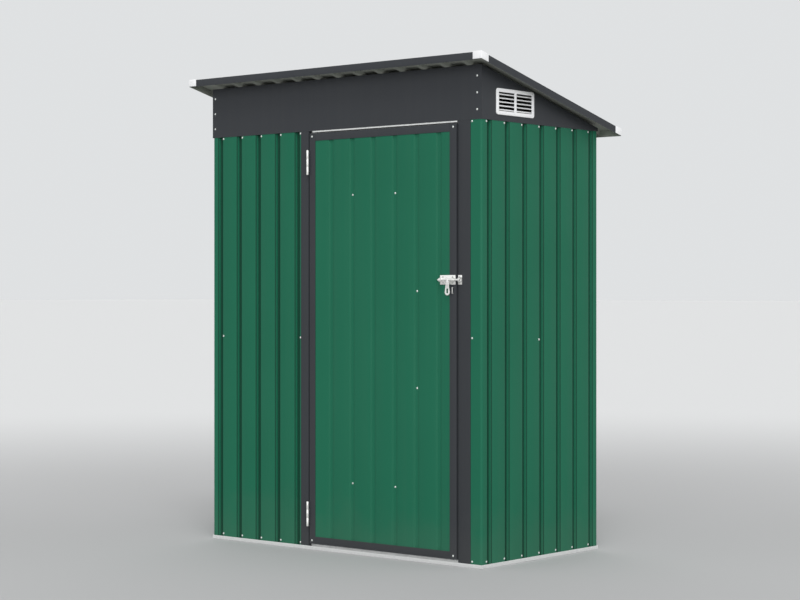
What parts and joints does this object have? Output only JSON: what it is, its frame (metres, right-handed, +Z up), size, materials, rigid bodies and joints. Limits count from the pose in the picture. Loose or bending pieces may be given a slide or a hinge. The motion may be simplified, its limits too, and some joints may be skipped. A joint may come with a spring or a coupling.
{
  "type": "metal tool shed",
  "caption": "Metal tool shed with green ribbed walls, dark grey frame and ribbed single-slope roof, slotted side vents and one hinged door with a barrel bolt",
  "frame": {"origin": "on the ground under the middle of the roof", "axes": "X along the front to the right, -Y the side with the door, Z up"},
  "size_m": [1.4806, 0.8746, 1.832],
  "materials": {
    "green_sheet": "satin",
    "grey_steel": "satin",
    "galvanised": "galvanised",
    "white_plastic": "smooth",
    "zinc_hardware": "zinc plated"
  },
  "bodies": {
    "shed": {"base_rail_front": "galvanised", "base_rail_right": "galvanised", "base_rail_back": "galvanised", "base_rail_left": "galvanised", "top_rail_front": "galvanised", "top_rail_right": "galvanised", "top_rail_back": "galvanised", "top_rail_left": "galvanised", "front_left_wall": "green_sheet", "back_wall": "green_sheet", "right_front_wall": "green_sheet", "right_back_wall": "green_sheet", "left_back_wall": "green_sheet", "left_front_wall": "green_sheet", "hinge_post": "grey_steel", "latch_post": "grey_steel", "door_head_rail": "galvanised", "front_header": "grey_steel", "back_header": "grey_steel", "left_gable": "grey_steel", "right_gable": "grey_steel", "left_vent": "white_plastic", "right_vent": "white_plastic", "roof_left_sheet": "grey_steel", "roof_right_sheet": "grey_steel", "roof_front_trim": "grey_steel", "roof_back_trim": "grey_steel", "roof_left_trim": "grey_steel", "roof_right_trim": "grey_steel", "roof_cap_front_left": "white_plastic", "roof_cap_front_right": "white_plastic", "roof_cap_back_left": "white_plastic", "roof_cap_back_right": "white_plastic", "upper_hinge_post_leaf": "zinc_hardware", "lower_hinge_post_leaf": "zinc_hardware", "bolt_keeper": "zinc_hardware"},
    "door": {"door_hinge_stile": "grey_steel", "door_latch_stile": "grey_steel", "door_top_rail": "grey_steel", "door_bottom_rail": "grey_steel", "door_panel": "green_sheet", "door_upper_brace": "galvanised", "door_lower_brace": "galvanised", "door_upright_brace": "galvanised", "upper_hinge_door_leaf": "zinc_hardware", "lower_hinge_door_leaf": "zinc_hardware", "bolt_base": "zinc_hardware"},
    "bolt": {"bolt": "zinc_hardware"}
  },
  "joints": [
    {"name": "door", "type": "hinge", "parent": "shed", "child": "door", "pos_m": [-0.1535, -0.372, 0.8], "axis": [0, 0, -1], "range_deg": [0, 120]},
    {"name": "bolt", "type": "slide", "parent": "door", "child": "bolt", "axis": [1, 0, 0], "range_m": [-0.02, 0.0103]}
  ]
}
